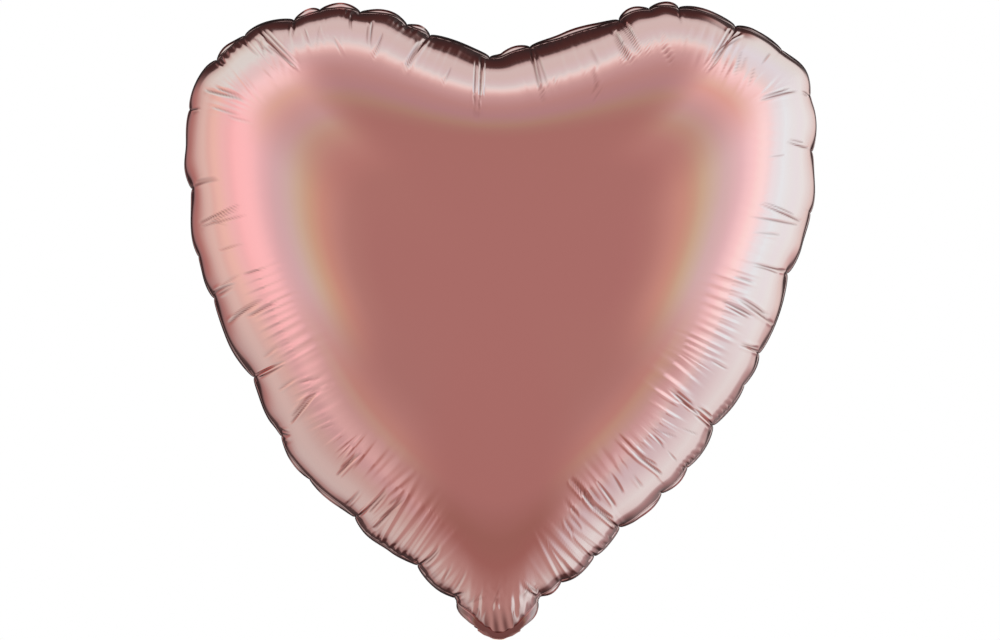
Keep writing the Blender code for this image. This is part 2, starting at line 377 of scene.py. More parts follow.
def stitch(counts, first=0, centre=None):
    """Faces between neighbouring rings of equal or halved counts, closed on a centre point."""
    faces = []
    start = first
    for count, following in zip(counts, counts[1:]):
        inner = start + count
        for step in range(following):
            after = (step + 1) % following
            if count == following:
                faces.append((start + step, start + after, inner + after, inner + step))
                continue
            left = start + 2 * step
            right = start + (2 * step + 2) % count
            faces.append((left, left + 1, inner + step))
            faces.append((left + 1, inner + after, inner + step))
            faces.append((left + 1, right, inner + after))
        start = inner
    if centre is not None:
        for step in range(counts[-1]):
            faces.append((start + step, start + (step + 1) % counts[-1], centre))
    return faces


def split(faces):
    """The faces as an array of triangles."""
    return np.array([(face[0], face[step], face[step + 1])
                     for face in faces for step in range(1, len(face) - 1)])


def membrane_height(points, triangles, held):
    """Height of an evenly pressed membrane, 0 on its first held points and 1 at its top.

    Linear finite elements for the Poisson equation, solved by conjugate gradients.
    """
    count = len(points)
    a, b, c = (points[triangles[:, corner]] for corner in range(3))
    edges = np.stack([c - b, a - c, b - a], axis=1)
    area = np.abs(edges[:, 0, 0] * edges[:, 1, 1] - edges[:, 0, 1] * edges[:, 1, 0]) / 2
    parts = np.einsum("tik,tjk->tij", edges, edges) / (4 * area)[:, None, None]
    rows = np.repeat(triangles, 3, axis=1).ravel()
    columns = np.tile(triangles, 3).ravel()
    parts = parts.ravel()
    load = np.bincount(triangles.ravel(), np.repeat(area / 3, 3), count)
    scale = np.bincount(rows[rows == columns], parts[rows == columns], count)
    load[:held] = 0
    height = np.zeros(count)
    error = load.copy()
    ahead = error / scale
    push = ahead.copy()
    energy = error @ ahead
    goal = 1e-12 * energy
    while energy > goal:
        pull = np.bincount(rows, parts * push[columns], count)
        pull[:held] = 0
        step = energy / (push @ pull)
        height += step * push
        error -= step * pull
        ahead = error / scale
        ahead[:held] = 0
        before, energy = energy, error @ ahead
        push = ahead + energy / before * push
    return height / height.max()


def vertex_normals(points, triangles):
    a, b, c = (points[triangles[:, corner]] for corner in range(3))
    facing = np.cross(b - a, c - a)
    normals = np.column_stack([
        np.bincount(triangles.ravel(), np.repeat(facing[:, axis], 3), len(points))
        for axis in range(3)])
    return normals / np.linalg.norm(normals, axis=1)[:, None]


class Pillow:
    """The smooth front half of the balloon on a grid of rings that close on its centre."""

    def __init__(self, rim, plan):
        self.rim = rim
        self.counts = [rim.count // thin for _, thin in plan]
        centre = np.array([0.0, CENTRE_HEIGHT])
        edge = rim.seal
        spokes = [np.arange(0, rim.count, thin) for _, thin in plan]
        rings = [centre + (1 - share) * (edge[spoke] - centre)
                 for (share, _), spoke in zip(plan, spokes)]
        flat = np.vstack(rings + [centre])
        last = len(flat) - 1
        self.faces = stitch(self.counts, 0, last)
        triangles = split(self.faces)
        height = membrane_height(flat, triangles, rim.count)
        depth = HALF_DEPTH * np.sqrt(np.maximum(0, 1 - (1 - height) ** 1.5))
        self.points = np.column_stack([flat[:, 0], -depth, flat[:, 1]])
        self.normals = vertex_normals(self.points, triangles)
        flat_out = np.column_stack([rim.outward[:, 0], np.zeros(rim.count), rim.outward[:, 1]])
        self.normals[:rim.count] = flat_out
        self.flat = flat
        self.places, away = rim.nearest(flat)
        self.inward = away - SEAL_SIDE
        self.runs = self.film_runs(spokes)

    def film_runs(self, spokes):
        """Film length from the seal to each point, measured along its spoke."""
        runs = []
        run = np.zeros(self.rim.count)
        start = 0
        ring = self.points[:self.rim.count]
        for number, spoke in enumerate(spokes):
            here = self.points[start:start + len(spoke)]
            if number:
                keep = len(ring) // len(here)
                run = run[::keep] + np.linalg.norm(here - ring[::keep], axis=1)
            runs.append(run)
            ring = here
            start += len(spoke)
        return np.concatenate(runs + [[runs[-1].mean()]])


def ripples(rim, places, inward, seed):
    """Fine ripples over the shoulder, where the film's spare width gathers."""
    swing = wander(places, 0.030, rim.length, seed)
    wave = np.sin(2 * math.pi * places / RIPPLE_LENGTH + 3.5 * swing)
    wave = 0.75 * wave + 0.40 * np.sin(2 * math.pi * places / FINE_RIPPLE - 5.0 * swing)
    wave = wave + 0.25 * np.abs(wave)
    strength = np.zeros(len(places))
    jitter = 0.75 + 0.35 * wander(places, 0.0085, rim.length, seed + 1)
    shift = 0.005 * wander(places, 0.024, rim.length, seed + 2)
    for place, half_width, weight, middle, reach in RIPPLE_PATCHES:
        off = rim.away(places, place) / half_width
        depth = (inward - middle - shift) / reach
        strength = np.maximum(strength, weight * np.exp(-off ** 4 - np.abs(depth) ** 2.5))
    return RIPPLE_RISE * strength * jitter * wave


def teeth(rim, places, runs, seed):
    """Short pleats where the film leaves the seal."""
    swing = wander(places, 0.02, rim.length, seed)
    wave = np.sin(2 * math.pi * places / TOOTH_LENGTH + 4.0 * swing)
    strength = np.zeros(len(places))
    for place, half_width in TEETH:
        strength = np.maximum(strength, np.exp(-(rim.away(places, place) / half_width) ** 4))
    return TOOTH_RISE * wave * strength * np.exp(-((runs - 0.014) / 0.010) ** 2)


def tip_folds(flat):
    """Upright folds where the film gathers into the neck."""
    x, z = flat.T
    lean = x * (1 + 8 * z)
    broad, narrow = TIP_FOLDS
    wave = np.sin(2 * math.pi * lean / broad + 90 * z + 0.8)
    wave = wave + 0.7 * np.sin(2 * math.pi * lean / narrow - 120 * z)
    wave = wave * (0.8 + 0.4 * np.sin(2 * math.pi * z / 0.009 + 300 * x))
    return TIP_FOLD_RISE * wave * np.exp(-(x / 0.019) ** 4 - (np.maximum(0, z - 0.010) / 0.016) ** 2)


def tip_shade(flat):
    """Painted shade in the narrow folds of the tip, darkest at its very end."""
    x, z = flat.T
    streak = 0.55 + 0.45 * np.sin(2 * math.pi * x * (1 + 8 * z) / 0.0060 + 160 * z + 2.0)
    return 0.85 * streak * np.exp(-(x / 0.025) ** 4 - (np.maximum(0, z - 0.008) / 0.010) ** 2)


def all_creases(rim, seed):
    """The larger creases with their companions, and small ones at random."""
    dice = np.random.default_rng(seed)
    lines = []
    for start, end, depth in CREASES:
        start, end = np.array(start), np.array(end)
        lines.append((start, end, depth, dice.uniform(-0.0006, 0.0006)))
        if depth >= CLEAR:
            way = (end - start) / np.hypot(*(end - start))
            beside = np.array([-way[1], way[0]]) * dice.choice((-1, 1)) * dice.uniform(0.0018, 0.0030)
            shift = (end - start) * dice.uniform(0.1, 0.3)
            lines.append((start + beside + shift, end + beside * 0.7 - shift * 0.2,
                          depth * 0.55, dice.uniform(-0.0006, 0.0006)))
    for _ in range(SMALL_CREASES):
        number = dice.integers(rim.count)
        inward = -rim.outward[number]
        lean = dice.uniform(-0.25, 0.25)
        way = inward + lean * np.array([-inward[1], inward[0]])
        start = rim.points[number] + way * dice.uniform(0.004, 0.030)
        lines.append((start, start + way * dice.uniform(0.008, 0.018),
                      dice.uniform(0.00012, 0.00035), dice.uniform(-0.0004, 0.0004)))
    return lines


def creases(rim, flat, seed):
    """Height of the creases over flat points, and the painted shade along each crease's groove."""
    height = np.zeros(len(flat))
    painted_fold_shade = np.zeros(len(flat))
    side = 1
    for start, end, depth, bow in all_creases(rim, seed):
        side = -side
        length = np.hypot(*(end - start))
        way = (end - start) / length
        off = flat - start
        along = off @ way / length
        across = off @ np.array([-way[1], way[0]]) - bow * 4 * along * (1 - along)
        across /= CREASE_WIDTH
        near = (along > 0) & (along < 1) & (np.abs(across) < 5)
        fade = (4.2 * along[near] ** 0.5 * (1 - along[near])) / 1.6
        groove = np.exp(-across[near] ** 2)
        ridge = np.exp(-((across[near] - side * 2.0) / 1.3) ** 2)
        height[near] += depth * fade * (0.55 * ridge - groove)
        # painted shade along the groove, stronger for deeper creases
        dark = np.exp(-(across[near] / 0.65) ** 2) * fade * min(1.0, 1.5 * depth / STRONG)
        painted_fold_shade[near] = np.maximum(painted_fold_shade[near], dark)
    return height, np.clip(painted_fold_shade, 0, 1)


def painted_pinch_shade(rim, places, runs):
    """Painted shade in the pinch of each pucker at the rim."""
    dark = np.zeros(len(places))
    for pucker, draw in zip(rim.puckers, rim.draws):
        across = rim.away(places, pucker) / 0.0007
        dark = np.maximum(dark, draw / 0.004 * np.exp(-across ** 2 - (runs / 0.016) ** 2))
    return np.clip(dark, 0, 1)


def film_relief(pillow, seed):
    """Height of the gathered film over the smooth pillow, along its normals, and the painted shade in
    its creases, pinches and tip folds.
    """
    rim, places, runs = pillow.rim, pillow.places, pillow.runs
    reach = SCALLOP_REACH * (1 + 0.25 * wander(places, 0.04, rim.length, seed + 9))
    fade = np.exp(-(runs / reach) ** 1.9)
    relief = rim.scallop(places, 0.35 + np.minimum(2.0, runs / 0.012)) * fade
    relief += ripples(rim, places, pillow.inward, seed)
    relief += teeth(rim, places, runs, seed + 20)
    relief += tip_folds(pillow.flat) * (1 - np.exp(-(runs / 0.004) ** 2))
    height, folds = creases(rim, pillow.flat, seed + 40)
    folds = np.maximum(folds, painted_pinch_shade(rim, places, runs))
    folds = np.maximum(folds, tip_shade(pillow.flat))
    return relief + height * (1 - np.exp(-runs / 0.003)), folds


def inlet_gap(flat):
    """Extra gap from the seam plane, which leaves room for the valve at the tip."""
    x, z = np.abs(flat[:, 0]), flat[:, 1]
    across = np.clip((0.0240 - x) / (0.0240 - INLET_HALF_WIDTH), 0, 1)
    up = np.clip((0.060 - z) / 0.030, 0, 1)
    return INLET_GAP * smooth(across) * up


def tail_room(points, least, spare=0.0):
    """How far the film may stand out, so that it stays clear of the folded tail."""
    x, z = np.abs(points[:, 0]), points[:, 2]
    room = (z * math.sin(TAIL_FOLD) - TAIL_CLEAR) / -math.cos(TAIL_FOLD)
    away = np.clip((x - 0.016) / 0.010, 0, 1)
    return np.maximum(room + 0.06 * away * away - spare, least)


def near_tip(rim, places):
    """1 at the tip and 0 well away from it along the rim."""
    return np.clip((0.034 - np.abs(rim.away(places, 0.0))) / 0.018, 0, 1)


def seal_rings(rim, offset, thin, side):
    """Rings of the sealed margin from its outer edge in to the seal line.

    Both panels' margins lie together: offset is from their common middle. The margin
    leans back, most of all at the sides; its edge leans less between puckers.
    """
    places = rim.places[::thin]
    line = rim.seal[::thin]
    outward = rim.outward[::thin]
    scallop = rim.scallop(places)
    at_tip = near_tip(rim, places)
    width = SEAL_WIDTH * (0.92 + 0.08 * wander(places, 0.02, rim.length, 5))
    width = width * (1 - at_tip) + (TIP_SEAL if side < 0 else TIP_SEAL_BACK) * at_tip
    ends = outward[:, 1] ** 2
    lean = (SEAL_LEAN + (SEAL_LEAN_END - SEAL_LEAN) * ends) * (1 - at_tip)
    edge_lean = lean - 0.75 * rim.sliver(places) * (1 - at_tip)
    gap = offset + inlet_gap(line)
    out = np.zeros(len(places))
    back = np.zeros(len(places))
    rings = []
    for before, share in zip((0.0,) + SEAL_STEPS, SEAL_STEPS):
        angle = lean if share < 0.56 else edge_lean
        out = out + (share - before) * width * np.cos(angle)
        back = back + (share - before) * width * np.sin(angle)
        flat = line + outward * (scallop + out - side * gap * np.sin(angle))[:, None]
        y = -side * back - gap * np.cos(angle)
        rings.append(np.column_stack([flat[:, 0], y, flat[:, 1]]))
    return rings[::-1]


def outer_skin(rim, pillow, side, seed):
    """Points, faces and painted fold shade of a panel's outer face, from the margin's edge in."""
    relief, folds = film_relief(pillow, seed)
    film = pillow.points + relief[:, None] * pillow.normals
    film[:, 1] = np.minimum(film[:, 1], 0.0) - SEAL_GAP - FILM - inlet_gap(pillow.flat)
    film[:, 1] = np.maximum(film[:, 1], -tail_room(film, SEAL_GAP + FILM + INLET_GAP))
    points = np.vstack(seal_rings(rim, SEAL_GAP + FILM, 1, side) + [film])
    faces = stitch([rim.count] * SEAL_RINGS + pillow.counts, 0, len(points) - 1)
    return points, faces, folds


def inner_skin(rim, lining, side, first):
    """Points and faces of its hidden inner face, whose first point has the number first."""
    hem = seal_rings(rim, SEAL_GAP, 1, side)[0]
    middle = seal_rings(rim, SEAL_GAP, 2, side)[1]
    drop = LINING_INSET * np.exp(-lining.runs / 0.06) + 0.0008
    film = lining.points - drop[:, None] * lining.normals
    film[:lining.counts[0], 1] = 0.0
    film[:, 1] = np.minimum(film[:, 1], 0.0) - SEAL_GAP - inlet_gap(lining.flat)
    film[:, 1] = np.maximum(film[:, 1], -tail_room(film, SEAL_GAP + INLET_GAP, 0.0006))
    points = np.vstack([hem, middle, film])
    counts = [rim.count, rim.count // 2] + lining.counts
    faces = stitch(counts, first, first + len(points) - 1)
    return points, [face[::-1] for face in faces]


def panel_mesh(name, rim, pillow, lining, side, seed):
    """One film panel as a closed shell. side is -1 for the front and 1 for the back."""
    outer, faces, folds = outer_skin(rim, pillow, side, seed)
    first = len(outer)
    inner, inner_faces = inner_skin(rim, lining, side, first)
    faces += inner_faces
    for step in range(rim.count):
        after = (step + 1) % rim.count
        faces.append((step, first + step, first + after, after))
    points = np.vstack([outer, inner])
    if side > 0:
        points[:, 1] *= -1
        faces = [face[::-1] for face in faces]
    piece = make_mesh(name, points, faces)
    margin = SEAL_RINGS * rim.count
    # painted shade in the creases, pinches and tip folds, stored as the 'fold' values
    painted_fold_shade = np.zeros(len(points), dtype=np.float32)
    painted_fold_shade[margin:first] = folds
    point_values(piece, "fold", painted_fold_shade)
    # painted shade on the rim's margin, stored as the 'seal' values
    painted_margin_shade = np.zeros(len(points), dtype=np.float32)
    painted_margin_shade[:margin] = painted_seal_shade(rim).ravel()
    point_values(piece, "seal", painted_margin_shade)
    crisp_seal(piece.data, margin, rim.count)
    return piece


def point_values(piece, name, values):
    """A number for each point, which the foil's material reads by its name."""
    piece.data.attributes.new(name, "FLOAT", "POINT").data.foreach_set("value", values)


def painted_seal_shade(rim):
    """Painted shade on each ring of the margin: less at the lower right and where it folds forward,
    where more light falls.
    """
    below = np.clip(-1.3 * rim.outward[:, 1], 0, 1)
    dark = 1 - below * np.where(rim.outward[:, 0] > 0, 0.75, 0.3)
    forward = np.clip(2.5 * (rim.sliver(rim.places) - 0.15), 0, 1)
    at_tip = near_tip(rim, rim.places)
    rings = np.array([dark * (1 - forward)] * 2 + [dark] * (SEAL_RINGS - 2))
    return rings * (1 - at_tip) + TIP_PAINTED_SHADE * at_tip


def crisp_seal(mesh, first, count):
    """Mark the seal line's edges sharp."""
    ends = np.zeros(len(mesh.edges) * 2, dtype=np.int32)
    mesh.edges.foreach_get("vertices", ends)
    on_seal = (ends >= first) & (ends < first + count)
    sharp = on_seal.reshape(-1, 2).all(axis=1)
    mesh.attributes.new("sharp_edge", "BOOLEAN", "EDGE").data.foreach_set("value", sharp)


def make_mesh(name, points, faces):
    """A smooth object in the scene."""
    mesh = bpy.data.meshes.new(name)
    mesh.from_pydata(points.tolist(), [], faces)
    mesh.shade_smooth()
    piece = bpy.data.objects.new(name, mesh)
    bpy.context.scene.collection.objects.link(piece)
    return piece


def dress(piece, node, material):
    """Hide a piece's CAD node and give the piece its material."""
    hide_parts(node)
    piece.data.materials.append(material)


def lining_plan():
    """Rings of a panel's hidden inner face."""
    plan = [(0.02, LINING_THIN)]
    shares = 0.95 * (1 - np.cos(np.linspace(0.25, math.pi / 2, LINING_RINGS)))
    return plan + [(share, LINING_THIN) for share in shares]


def make_panels():
    material = foil_material()
    rim = Rim(FINE_POINTS)
    pillow = Pillow(rim, ring_plan())
    lining_rim = Rim(FINE_POINTS // LINING_THIN)
    plan = [(share, 1) for share, _ in lining_plan()]
    lining = Pillow(lining_rim, [(0.0, 1)] + plan)
    for name, node, side, seed in (("front_film", "front_panel", -1, 11),
                                   ("back_film", "back_panel", 1, 12)):
        piece = panel_mesh(name, rim, pillow, lining, side, seed)
        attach(piece, "balloon")
        dress(piece, node, material)


def tail_row(side, along, half, thick):
    """One row of points across a tail film at a distance along it from the fold line.

    side is -1 for the front film, which is on the outside of the resting fold.
    """
    share = np.linspace(-1, 1, TAIL_COLUMNS)
    x = share * half
    corner = np.maximum(0, np.abs(x) - (TAIL_END_WIDTH / 2 - TAIL_CORNER))
    cut = TAIL_CORNER - np.sqrt(np.maximum(0, TAIL_CORNER ** 2 - corner ** 2))
    if side > 0:
        cut = np.maximum(cut, np.sqrt(np.maximum(0, INLET_NOTCH ** 2 - x ** 2)))
    down = along - cut * max(0.0, along / TAIL_LENGTH)
    weld = smooth(np.clip((np.abs(x) - TAIL_OPEN) / TAIL_WELD, 0, 1))
    pleat = 0.5 + 0.5 * np.sin(2 * math.pi * x / TAIL_PLEAT + 30 * along + side)
    sag = 0.5 + 0.5 * np.sin(2 * math.pi * x / TAIL_SAG + 70 * along + 2 * side)
    puff = TAIL_PLEAT_RISE * pleat * math.exp(-((along - 0.012) / 0.010) ** 2)
    puff = puff + TAIL_SAG_RISE * sag * min(1.0, max(0.0, along / 0.02))
    offset = TAIL_GAP * (1 - weld) + 0.00004 * weld + puff * (1 - weld) + thick
    points = [fold_point(side, distance, gap) for distance, gap in zip(down, offset)]
    return [(place, y, z + raised)
            for place, raised, (y, z) in zip(x, fold_lift(x, along), points)]


def fold_lift(x, along):
    """How much higher a film is than the straight fold, as it follows the rounded tip."""
    return TAIL_LIFT * (np.abs(x) / VALVE_HALF_WIDTH) ** 1.6 * math.exp(-(along / 0.007) ** 2)


def fold_point(side, along, gap):
    """(y, z) of a film at a gap from the tail's middle plane, folded at the origin."""
    middle = Vector((math.sin(TAIL_FOLD), -math.cos(TAIL_FOLD)))
    outer = Vector((-math.cos(TAIL_FOLD), -math.sin(TAIL_FOLD)))
    if side > 0:
        kink = gap / math.tan((math.pi - TAIL_FOLD) / 2)
        if along < kink:
            return gap, max(kink, -along)
        return tuple(middle * along - outer * gap)
    if along <= 0:
        return -gap, -along
    arc = gap * TAIL_FOLD
    if along < arc:
        turn = along / gap
        return -gap * math.cos(turn), -gap * math.sin(turn)
    return tuple(middle * along + outer * gap)


def shell_faces(rows, columns, flip):
    """Faces of a thin closed shell between two grids of points."""
    first = rows * columns
    faces = []
    for row in range(rows - 1):
        for column in range(columns - 1):
            corner = row * columns + column
            quad = (corner, corner + 1, corner + columns + 1, corner + columns)
            faces.append(quad)
            faces.append(tuple(index + first for index in quad[::-1]))
    rim = list(range(columns)) + [row * columns + columns - 1 for row in range(1, rows)]
    rim += list(range(first - 2, first - columns - 1, -1))
    rim += [row * columns for row in range(rows - 2, 0, -1)]
    for here, after in zip(rim, rim[1:] + rim[:1]):
        faces.append((after, here, here + first, after + first))
    return [face[::-1] for face in faces] if flip else faces


def tail_film(name, side, node):
    """A tail film as a thin closed shell that bends at the fold line."""
    stops = np.concatenate([np.linspace(-TAIL_TOP, 0, 5), np.linspace(0.0003, 0.0030, 10),
                            np.linspace(0.0036, 0.0120, 14), np.linspace(0.0132, TAIL_LENGTH, 44)])
    halves = np.interp(stops, (0.0, 0.010, TAIL_LENGTH),
                       (0.0126, TAIL_TOP_WIDTH / 2, TAIL_END_WIDTH / 2))
    points = []
    for thick in (TAIL_FILM, 0.0):
        for along, half in zip(stops, halves):
            points += tail_row(side, along, half, thick)
    faces = shell_faces(len(stops), TAIL_COLUMNS, side > 0)
    piece = make_mesh(name, np.array(points), faces)
    # painted shade along the tail's fold line
    painted_tail_fold_shade = TIP_PAINTED_SHADE * np.exp(-(np.tile(np.repeat(stops, TAIL_COLUMNS), 2) / 0.005) ** 2)
    point_values(piece, "seal", painted_tail_fold_shade)
    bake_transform(piece)
    dress(piece, node, bpy.data.materials["rose_foil"])


def make_tail():
    tail_film("tail_film_front", -1, "tail_front_film")
    tail_film("tail_film_back", 1, "tail_back_film")


def new_material(name):
    """A material, its node tree and its shader."""
    material = bpy.data.materials.new(name)
    material.use_nodes = True
    return material, material.node_tree, material.node_tree.nodes["Principled BSDF"]


def film_material():
    """Clear valve film with the faint crinkle of thin plastic."""
    material, tree, shader = new_material("valve_film")
    noise = tree.nodes.new("ShaderNodeTexNoise")
    noise.inputs["Scale"].default_value = 420
    noise.inputs["Detail"].default_value = 3
    tree.links.new(tree.nodes.new("ShaderNodeTexCoord").outputs["Object"], noise.inputs["Vector"])
    bump = tree.nodes.new("ShaderNodeBump")
    bump.inputs["Strength"].default_value = 0.25
    bump.inputs["Distance"].default_value = 0.0004
    tree.links.new(noise.outputs["Fac"], bump.inputs["Height"])
    tree.links.new(bump.outputs["Normal"], shader.inputs["Normal"])
    tree.links.new(colour_ramp(tree, noise.outputs["Fac"],
                               [(0.3, (0.80, 0.80, 0.79)), (0.7, (0.90, 0.90, 0.89))]),
                   shader.inputs["Base Color"])
    shader.inputs["Roughness"].default_value = 0.22
    shader.inputs["Alpha"].default_value = 0.5
    return material


def throat_rows(side, gap):
    """Rows of points down a throat film, which starts just past the tail's fold."""
    x = np.linspace(-VALVE_HALF_WIDTH, VALVE_HALF_WIDTH, VALVE_COLUMNS)
    rows = []
    for along in np.linspace(THROAT_START, THROAT_END, 36):
        y, z = fold_point(side, along, gap)
        rows += [(place, y, z + raised) for place, raised in zip(x, fold_lift(x, along))]
    return rows


def neck_rows(side, gap):
    """Rows of points down a neck film, whose lower edge follows the rounded tip."""
    x = np.linspace(-VALVE_HALF_WIDTH, VALVE_HALF_WIDTH, VALVE_COLUMNS)
    low = NECK_LOW + fold_lift(x, 0.0)
    rows = []
    for share in np.linspace(0, 1, 9):
        height = NECK_HIGH + (low - NECK_HIGH) * share
        rows += [(place, side * gap, z) for place, z in zip(x, height)]
    return rows


def valve_film(node, body, side, rows, material):
    """A valve film as a thin closed shell."""
    points = rows(side, VALVE_GAP + VALVE_FILM) + rows(side, VALVE_GAP)
    count = len(points) // 2 // VALVE_COLUMNS
    faces = shell_faces(count, VALVE_COLUMNS, side > 0)
    piece = make_mesh(node.replace("valve", "valve_film"), np.array(points), faces)
    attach(piece, body)
    dress(piece, node, material)
    return piece


def make_valve():
    material = film_material()
    for end, side in (("front", -1), ("back", 1)):
        neck = valve_film(f"valve_neck_{end}", "balloon", side, neck_rows, material)
        throat = valve_film(f"valve_throat_{end}", "tail", side, throat_rows, material)
        tongue = bpy.data.objects[f"valve_tongue_{end}"]
        tongue.data.materials.clear()
        tongue.data.materials.append(material)


def make_floor():
    """A plain pale disc below the balloon."""
    steps = 96
    rim = [(FLOOR_RADIUS * math.cos(2 * math.pi * step / steps),
            FLOOR_RADIUS * math.sin(2 * math.pi * step / steps), FLOOR_HEIGHT)
           for step in range(steps)]
    mesh = bpy.data.meshes.new("floor")
    mesh.from_pydata(rim, [], [tuple(range(steps))])
    floor = bpy.data.objects.new("floor", mesh)
    bpy.context.scene.collection.objects.link(floor)
    material, _, shader = new_material("floor")
    shader.inputs["Base Color"].default_value = (0.80, 0.80, 0.80, 1)
    shader.inputs["Roughness"].default_value = 0.9
    floor.data.materials.append(material)
    floor.visible_glossy = False


def math_node(tree, operation, *values):
    """A Math node whose inputs are sockets or numbers; returns its result socket."""
    node = tree.nodes.new("ShaderNodeMath")
    node.operation = operation
    for slot, value in zip(node.inputs, values):
        if isinstance(value, (int, float)):
            slot.default_value = value
        else:
            tree.links.new(value, slot)
    return node.outputs[0]


def smooth_share(tree, value, low, high):
    """0 where the value is below low and 1 above high, smoothly between."""
    node = tree.nodes.new("ShaderNodeMapRange")
    node.interpolation_type = "SMOOTHSTEP"
    tree.links.new(value, node.inputs["Value"])
    node.inputs["From Min"].default_value = low
    node.inputs["From Max"].default_value = high
    return node.outputs["Result"]


def colour_ramp(tree, value, stops):
    """A ColorRamp through (position, (r, g, b)) stops."""
    node = tree.nodes.new("ShaderNodeValToRGB")
    tree.links.new(value, node.inputs["Fac"])
    elements = node.color_ramp.elements
    while len(elements) < len(stops):
        elements.new(0.5)
    for element, (position, colour) in zip(elements, stops):
        element.position = position
        element.color = (*colour, 1.0)
    return node.outputs["Color"]


def mix_colours(tree, share, first, second):
    node = tree.nodes.new("ShaderNodeMix")
    node.data_type = "RGBA"
    tree.links.new(share, node.inputs["Factor"])
    tree.links.new(first, node.inputs["A"])
    tree.links.new(second, node.inputs["B"])
    return node.outputs["Result"]


# The foil's colour by the tilt of its face from the panel's own front, in degrees, for
# eight directions of tilt: its own brown rose, then a painted rainbow sheen, then a painted pearl or
# blush sheen as the side lights fall.
ROSE = (0.87, 0.329, 0.297)
# painted shade colours: for creases, pinches and tip folds, and for the rim's margin
PAINTED_CREASE_SHADE_ROSE = (0.20, 0.045, 0.036)
PAINTED_MARGIN_SHADE_BROWN = (0.12, 0.036, 0.032)


def tints(*stops):
    """(tilt, colour) stops from (tilt, green, blue) ones; red is always 0.87."""
    return [(0, ROSE)] + [(tilt, (0.87, green, blue)) for tilt, green, blue in stops]


FILM_COLOURS_AND_SHEEN = {
    "right": tints((7, .33, .30), (11, .365, .31), (13, .385, .30), (14.5, .45, .32),
                   (16, .55, .385), (18, .578, .48), (20, .55, .54), (24, .51, .53),
                   (28, .52, .525), (30, .575, .56), (33, .61, .61), (36, .73, .75),
                   (41, .84, .86), (46, .80, .80), (51, .775, .79), (57, .785, .77),
                   (66, .68, .65), (72, .56, .50), (85, .20, .16)),
    "left": tints((6, .335, .30), (10, .367, .315), (12, .375, .29), (14, .47, .32),
                  (16, .565, .425), (18, .56, .515), (20, .515, .525), (23, .465, .48),
                  (27, .43, .435), (34, .41, .41), (38, .445, .43), (43, .475, .405),
                  (47, .47, .41), (51, .53, .465), (57, .50, .44), (62, .38, .33),
                  (68, .20, .16), (80, .06, .05)),
    "upper_right": tints((11, .335, .30), (14, .36, .315), (16.5, .44, .34), (18, .49, .40),
                         (20, .455, .44), (23, .42, .395), (25, .41, .345), (27, .475, .39),
                         (30, .50, .48), (33, .55, .54), (36, .64, .62), (40, .72, .74),
                         (46, .76, .80), (56, .77, .74), (64, .73, .69), (72, .60, .56)),
    "upper_left": tints((11, .345, .30), (13, .37, .315), (15.5, .44, .34), (17, .49, .39),
                        (19, .455, .44), (22, .43, .395), (25, .455, .37), (28, .49, .455),
                        (32, .52, .515), (36, .57, .56), (39, .61, .60), (44, .76, .72),
                        (50, .76, .71), (57, .68, .61), (62, .52, .47), (70, .25, .21)),
    "up": tints((17, .335, .295), (19.5, .37, .31), (21.5, .43, .33), (23, .43, .375),
                (25, .41, .41), (29, .405, .38), (33, .44, .425), (37, .49, .46),
                (40, .62, .585), (42, .70, .68), (46, .62, .615), (50, .61, .58), (57, .62, .585),
                (62, .50, .47), (66, .30, .25), (80, .10, .08)),
    "lower_right": tints((10, .345, .305), (16, .36, .322), (20, .362, .305), (22, .44, .33),
                         (25, .455, .40), (28, .445, .43), (31, .49, .48), (34, .56, .54),
                         (39, .60, .62), (45, .64, .645), (55, .73, .71), (64, .68, .66),
                         (70, .36, .35), (80, .20, .18)),
    "lower_left": tints((10, .345, .31), (16, .36, .322), (20, .375, .31), (22, .45, .36),
                        (25, .44, .41), (30, .46, .435), (36, .455, .445), (42, .50, .45),
                        (50, .58, .53), (60, .60, .55), (67, .54, .50), (72, .30, .25)),
    "down": tints((22, .325, .292), (28, .313, .261), (33, .30, .258), (39, .36, .32),
                  (45, .39, .35), (55, .40, .355), (66, .34, .30), (72, .20, .16)),
}


def by_direction(tree, tilt, rightward, upward, colours):
    """Blend of the eight directions' ramps. tilt is 1 at 90 degrees."""
    ramps = {name: colour_ramp(tree, tilt, [(degrees / 90, colour) for degrees, colour in stops])
             for name, stops in colours.items()}
    share = smooth_share(tree, rightward, -0.35, 0.35)
    side = mix_colours(tree, share, ramps["left"], ramps["right"])
    upper = mix_colours(tree, share, ramps["upper_left"], ramps["upper_right"])
    lower = mix_colours(tree, share, ramps["lower_left"], ramps["lower_right"])
    downward = math_node(tree, "MULTIPLY", upward, -1.0)
    blend = mix_colours(tree, smooth_share(tree, upward, 0.25, 0.75), side, upper)
    blend = mix_colours(tree, smooth_share(tree, upward, 0.84, 0.98), blend, ramps["up"])
    blend = mix_colours(tree, smooth_share(tree, downward, 0.22, 0.62), blend, lower)
    return mix_colours(tree, smooth_share(tree, downward, 0.74, 0.95), blend, ramps["down"])


